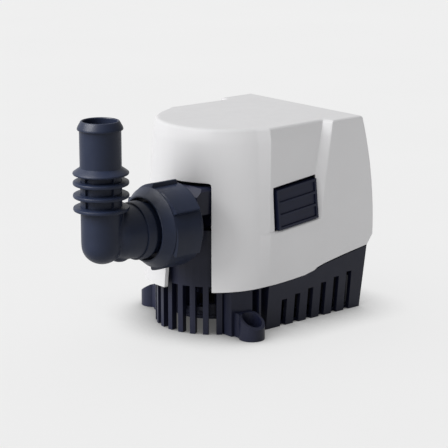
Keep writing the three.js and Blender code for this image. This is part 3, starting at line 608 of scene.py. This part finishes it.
def make_latch_spring(side, sign):
    """A wire coil between a spring seat and its latch button."""
    node, joint = f"latch_spring_{side}", f"latch_{side}_press"
    low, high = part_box(node)
    wire = 0.45
    radius = (high.x - low.x) / MM / 2 - wire
    middle_x = ((low.x + high.x) / 2 - AXIS_X) / MM
    middle_z = (low.z + high.z) / MM / 2
    seat_end, button_end = sorted((abs(low.y) / MM, abs(high.y) / MM))
    turns, steps, around = 5, 24, 10
    count = turns * steps
    points = []
    for i in range(count + 1):
        angle = 2 * math.pi * i / steps
        outward = Vector((math.cos(angle), 0, math.sin(angle)))
        reach = lerp(seat_end + wire, button_end - wire, i / count)
        centre = Vector((middle_x, sign * reach, middle_z)) + outward * radius
        for k in range(around):
            turn = 2 * math.pi * k / around
            points.append(centre + wire * (math.cos(turn) * outward + math.sin(turn) * Vector((0, 1, 0))))
    faces = [list(range(around)), [count * around + k for k in range(around)]]
    for i in range(count):
        for k in range(around):
            n = (k + 1) % around
            faces.append([i * around + k, i * around + n, (i + 1) * around + n, (i + 1) * around + k])
    spring = piece(f"latch_coil_{side}", points, faces, "steel", "cover", [node])
    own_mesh(spring)


make_cover()
for side, sign in (("near", -1), ("far", 1)):
    make_spring_seat(side, sign)
for side, sign in (("near", -1), ("far", 1)):
    make_latch_spring(side, sign)

# ---------------------------------------------------------------- turned shapes

OUTLET_Y, OUTLET_Z = -17.0, 62.8  # the outlet's axis, along X
TAIL_X = -85.75  # the hose tail's axis, along Z
BORE = 8.55


def even_angles(count):
    return [2 * math.pi * i / count for i in range(count)]


def turned(profile, angles, radius_at=None, closed=True):
    """Points and faces of a profile of (radius, height) turned through the given angles."""
    points = []
    for turn in angles:
        for k, (radius, height) in enumerate(profile):
            if radius_at:
                radius = radius_at(turn, k, radius)
            points.append((radius * math.cos(turn), radius * math.sin(turn), height))
    faces = []
    across = len(profile)
    for i in range(len(angles)):
        j = (i + 1) % len(angles)
        for k in range(across if closed else across - 1):
            n = (k + 1) % across
            faces.append([i * across + k, j * across + k, j * across + n, i * across + n])
    return points, faces


def turned_solid(name, profile, place, count=64):
    """A solid of revolution, closed by a flat face at each end of its profile."""
    points, faces = turned(profile, even_angles(count), closed=False)
    across = len(profile)
    faces.append([i * across for i in range(count)])
    faces.append([i * across + across - 1 for i in range(count)])
    return object_of(name, skin(name, place(points), faces))


def on_tail(points):
    return [(TAIL_X + x, OUTLET_Y + y, z) for x, y, z in points]


def on_outlet(points):
    """Turns a shape made about +Z so that its axis runs along +X on the outlet's axis."""
    return [(z, OUTLET_Y + y, OUTLET_Z - x) for x, y, z in points]


def on_gate(points):
    """Places the gate mark, the small stub under the bend where the moulding was filled."""
    return [(-75.2 + x, OUTLET_Y + y, z) for x, y, z in points]


SPIGOT_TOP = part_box("outlet_elbow")[1].z / MM
RINGS = (77.6, 84.2, 90.6)  # middle height of each ring
CONE_FOOT = 94.4
RING_RADIUS = 14.0
BODY_RADIUS = 10.4
POCKET_RADIUS = 9.15
POCKET_SPANS = [(math.radians(186), math.radians(270)), (math.radians(6), math.radians(90))]


def ring_profile(low):
    """The section of one ring, given from its lower to its upper face."""
    section = [(BODY_RADIUS, low - 1.15), (13.35, low - 1.0), (13.8, low - 0.75), (RING_RADIUS, low - 0.3)]
    section += [(RING_RADIUS, low + 0.3), (13.8, low + 0.75), (13.35, low + 1.0), (BODY_RADIUS, low + 1.15)]
    return section


def make_hose_tail():
    """The stepped hose tail: rings with pockets between them, the cone, the tube and the barb."""
    profile = [(BORE, 74.0), (BODY_RADIUS, 74.0), (BODY_RADIUS, 75.8)]
    pocket_points = []
    for low in RINGS:
        profile += ring_profile(low)
        top = CONE_FOOT if low == RINGS[-1] else low + 5.2
        pocket_points += [len(profile), len(profile) + 1]
        profile += [(BODY_RADIUS, low + 1.35), (BODY_RADIUS, top - 0.1)]
    profile += [(BODY_RADIUS, CONE_FOOT - 0.1)]
    # the cone
    profile += [(13.3, 94.75), (13.75, 94.95), (RING_RADIUS, 95.3), (RING_RADIUS, 95.7), (13.85, 96.0)]
    profile += [(12.2, 97.2), (10.45, 98.35), (10.4, 98.4), (10.4, 107.0), (10.4, 117.0)]
    # the barb
    profile += [(10.45, 117.1), (11.25, 117.2), (11.43, 117.45), (11.45, 117.8), (11.3, 118.4)]
    profile += [(10.3, 120.3), (9.75, 121.25), (9.55, 121.5), (9.3, SPIGOT_TOP)]
    profile += [(9.0, SPIGOT_TOP), (8.7, SPIGOT_TOP - 0.25), (BORE, SPIGOT_TOP - 0.7), (BORE, 100.0)]
    step = math.radians(0.8)  # width of a pocket's end walls
    angles = set(even_angles(72))
    for first, last in POCKET_SPANS:
        angles |= {first - step, first, last, last + step}

    def radius_at(turn, k, radius):
        if k in pocket_points and any(first <= turn <= last for first, last in POCKET_SPANS):
            return POCKET_RADIUS
        return radius

    points, faces = turned(profile, sorted(angles), radius_at)
    shade_by_angle(piece("hose_tail", on_tail(points), faces, "dark", "elbow"), 32)


def combine(target, tool, operation):
    change = target.modifiers.new(tool.name, "BOOLEAN")
    change.operation = operation
    change.solver = "EXACT"
    change.object = tool


def blend_solids(name, solids, holes, voxel, rounds, slot, body, replaced):
    """Joins overlapping solids into one skin with soft inner corners, and drills the holes through."""
    target = solids[0]
    for tool in solids[1:]:
        combine(target, tool, "UNION")
    remesh = target.modifiers.new("one skin", "REMESH")
    remesh.mode = "VOXEL"
    remesh.voxel_size = voxel * MM
    smooth = target.modifiers.new("soft corners", "SMOOTH")
    smooth.factor = 0.5
    smooth.iterations = rounds
    for tool in holes:
        combine(target, tool, "DIFFERENCE")
    evaluated = target.evaluated_get(bpy.context.evaluated_depsgraph_get())
    mesh = bpy.data.meshes.new_from_object(evaluated)
    mesh.name = name
    for extra in solids + holes:
        bpy.data.objects.remove(extra)
    finished(name, mesh, slot, body, replaced)


def make_elbow_body():
    """The bend: the upright under the hose tail, the arm to the nut and the gate mark, bored through."""
    upright = turned_solid("upright", [
        (0.5, 49.2), (2.6, 49.4), (4.9, 50.2), (6.9, 51.5), (8.5, 53.2), (9.7, 55.3), (10.25, 57.6),
        (BODY_RADIUS, 60), (BODY_RADIUS, 76.4),
    ], on_tail)
    arm = turned_solid("arm", [
        (6.0, -84.0), (9.2, -81.8), (11.4, -79.6), (12.6, -77.2), (13.2, -74.0), (13.7, -69.5),
        (14.1, -65.6), (14.2, -64.4), (14.2, -62.6),
    ], on_outlet)
    gate = turned_solid("gate", [
        (0.6, 48.3), (2.2, 48.5), (3.8, 49.2), (4.8, 50.4), (5.0, 53.0),
    ], on_gate, 32)
    ball = []
    for degrees in range(0, 181, 12):
        turn = math.radians(degrees)
        ball.append((BORE * math.sin(turn) + 0.05, OUTLET_Z - BORE * math.cos(turn)))
    holes = [
        turned_solid("bore_up", [(BORE, OUTLET_Z), (BORE, 80.0)], on_tail),
        turned_solid("bore_across", [(BORE, TAIL_X), (BORE, -50.0)], on_outlet),
        turned_solid("bore_corner", ball, on_tail),
    ]
    blend_solids("elbow_body", [upright, arm, gate], holes, 0.55, 7, "dark", "elbow", ["outlet_elbow"])


def make_elbow_collar():
    """The flange that the nut holds, and the collar outside the nut, with a groove between them."""
    flange = [(BORE, -53.0), (17.6, -53.0), (17.9, -53.3), (17.9, -55.4), (17.6, -55.7)]
    groove = [(13.5, -55.75), (13.5, -61.9)]
    collar = [(14.6, -62.1), (14.9, -62.4), (14.95, -64.2), (14.85, -67.0), (14.6, -67.3)]
    end = [(13.6, -67.35), (BORE, -67.0)]
    points, faces = turned(flange + groove + collar + end, even_angles(72))
    shade_by_angle(piece("elbow_collar", on_outlet(points), faces, "dark", "elbow"), 40)


def make_union_nut():
    """Ribbed nut: a plain lip and cone, then six saw-tooth ribs that each rise and step back."""
    lip, barrel, inside = 16.0, 20.8, 18.4
    profile = [(lip, -60.2), (lip + 0.25, -60.5), (lip + 0.75, -60.5), (lip + 1.1, -60.3)]
    profile += [(19.0, -57.4), (barrel - 0.35, -55.6), (barrel, -55.25), (barrel, -54.7)]
    ribbed = [len(profile) + k for k in range(3)]
    profile += [(barrel, -54.2), (barrel, -46.5), (barrel, -38.9)]
    profile += [(barrel, -38.5), (barrel, -37.6), (barrel - 0.3, -37.3)]
    profile += [(inside + 0.3, -37.3), (inside, -37.6), (inside, -55.8), (lip, -56.6)]
    teeth = 6
    phase = math.radians(3)
    pitch = 2 * math.pi / teeth
    # a rib grows slowly over most of its pitch and drops at its end
    shares = [0.0, 0.004, 0.03, 0.12, 0.24, 0.36, 0.48, 0.60, 0.72, 0.84, 0.94, 0.972, 0.988]
    rise = 2.25
    rises = {0.0: 0.0, 0.004: -0.12, 0.94: 0.95 * rise, 0.972: rise, 0.988: 0.96 * rise}
    angles = []
    heights = {}
    for tooth in range(teeth):
        for share in shares:
            turn = phase + (tooth + share) * pitch
            angles.append(turn)
            heights[turn] = rises.get(share, rise * max(share - 0.02, 0.0) ** 1.4)

    def radius_at(turn, k, radius):
        if k not in ribbed:
            return radius
        return radius - 0.15 + heights[turn]

    points, faces = turned(profile, angles, radius_at)
    nut = piece("union_nut_ribbed", on_outlet(points), faces, "dark", "nut", ["union_nut"])
    shade_by_angle(nut, 24)


make_hose_tail()
make_elbow_body()
make_elbow_collar()
make_union_nut()

# ---------------------------------------------------------------- floor, light and camera

FLOOR_HALF = 3.0


def make_paper():
    """White paper that glows evenly, so it has no long shadows, and whose glow is darkened by ambient
    occlusion close to the object: a painted contact shadow.
    """
    paper = Nodes("paper")
    pale = paper.ramp(paper.noise(6.0), (0.215, 0.215, 0.215), (0.225, 0.225, 0.225))
    # ambient occlusion darkens the paper's glow near the object: a painted contact shadow
    painted_contact_shadow = paper.tree.nodes.new("ShaderNodeAmbientOcclusion")
    painted_contact_shadow.inputs["Distance"].default_value = 0.03
    painted_contact_shadow.samples = 8
    glow_with_painted_shadow = paper.ramp(painted_contact_shadow.outputs["AO"], (0.10, 0.10, 0.10), (1.0, 1.0, 1.0), 0.25, 1.0)
    paper.link(pale, paper.shader.inputs["Base Color"])
    paper.link(glow_with_painted_shadow, paper.shader.inputs["Emission Color"])
    paper.shader.inputs["Emission Strength"].default_value = 0.675
    paper.shader.inputs["Roughness"].default_value = 0.9
    paper.shader.inputs["Specular IOR Level"].default_value = 0.1
    return paper.material


def make_floor():
    build = bmesh.new()
    bmesh.ops.create_grid(build, x_segments=16, y_segments=16, size=FLOOR_HALF)
    mesh = bpy.data.meshes.new("floor")
    build.to_mesh(mesh)
    build.free()
    mesh.materials.append(make_paper())
    made = object_of("floor", mesh)
    return made


def make_studio():
    """A white surround, brightest above the outlet's end on the far side."""
    world = bpy.data.worlds.new("studio")
    scene.world = world
    world.use_nodes = True
    nodes, links = world.node_tree.nodes, world.node_tree.links
    background = nodes["Background"]
    direction = nodes.new("ShaderNodeTexCoord").outputs["Generated"]
    towards = nodes.new("ShaderNodeVectorMath")
    towards.operation = "DOT_PRODUCT"
    towards.inputs[1].default_value = Vector((-0.45, 0.65, 0.6)).normalized()
    links.new(direction, towards.inputs[0])
    strength = nodes.new("ShaderNodeMapRange")
    strength.inputs["From Min"].default_value = -0.6
    strength.inputs["From Max"].default_value = 1.0
    strength.inputs["To Min"].default_value = 0.26
    strength.inputs["To Max"].default_value = 1.10
    links.new(towards.outputs["Value"], strength.inputs["Value"])
    links.new(strength.outputs["Result"], background.inputs["Strength"])
    background.inputs["Color"].default_value = (1.0, 1.0, 1.0, 1.0)


def soft_light(name, azimuth, elevation, strength, spread):
    """A broad soft light from the given compass angle (0 is along +X) and height, both in degrees."""
    light = bpy.data.lights.new(name, "SUN")
    light.energy = strength
    light.angle = math.radians(spread)
    lamp = object_of(name, light)
    turn, lift = math.radians(azimuth), math.radians(elevation)
    source = Vector((math.cos(turn) * math.cos(lift), math.sin(turn) * math.cos(lift), math.sin(lift)))
    lamp.rotation_euler = source.to_track_quat("Z", "Y").to_euler()
    return lamp


floor = make_floor()
make_studio()
scene.view_settings.view_transform = "Standard"

# the key light leaves the floor alone, so the paper shows no long shadow of it
key = soft_light("key", 176, 25, 1.55, 26)
unlit = bpy.data.collections.new("outside the key light")
unlit.objects.link(floor)
key.light_linking.receiver_collection = unlit
unlit.collection_objects[0].light_linking.link_state = "EXCLUDE"

# the dark plastic gets a second, higher light that models its upper faces
top_light = soft_light("top", 160, 48, 7.0, 40)
dark_pieces = bpy.data.collections.new("under the top light")
for thing in scene.objects:
    if thing.type == "MESH" and {"dark_plastic", "base_plastic"} & set(thing.data.materials.keys()):
        dark_pieces.objects.link(thing)
top_light.light_linking.receiver_collection = dark_pieces

camera_data = bpy.data.cameras.new("camera")
camera_data.sensor_width = 36.0
camera_data.lens = 142.66
camera_data.clip_end = 20.0
camera = object_of("camera", camera_data)
camera.location = (-0.58093, -0.71037, 0.28345)
line_of_sight = Vector((0.62442, 0.74239, -0.24280))
camera.rotation_euler = line_of_sight.to_track_quat("-Z", "Y").to_euler()
scene.camera = camera
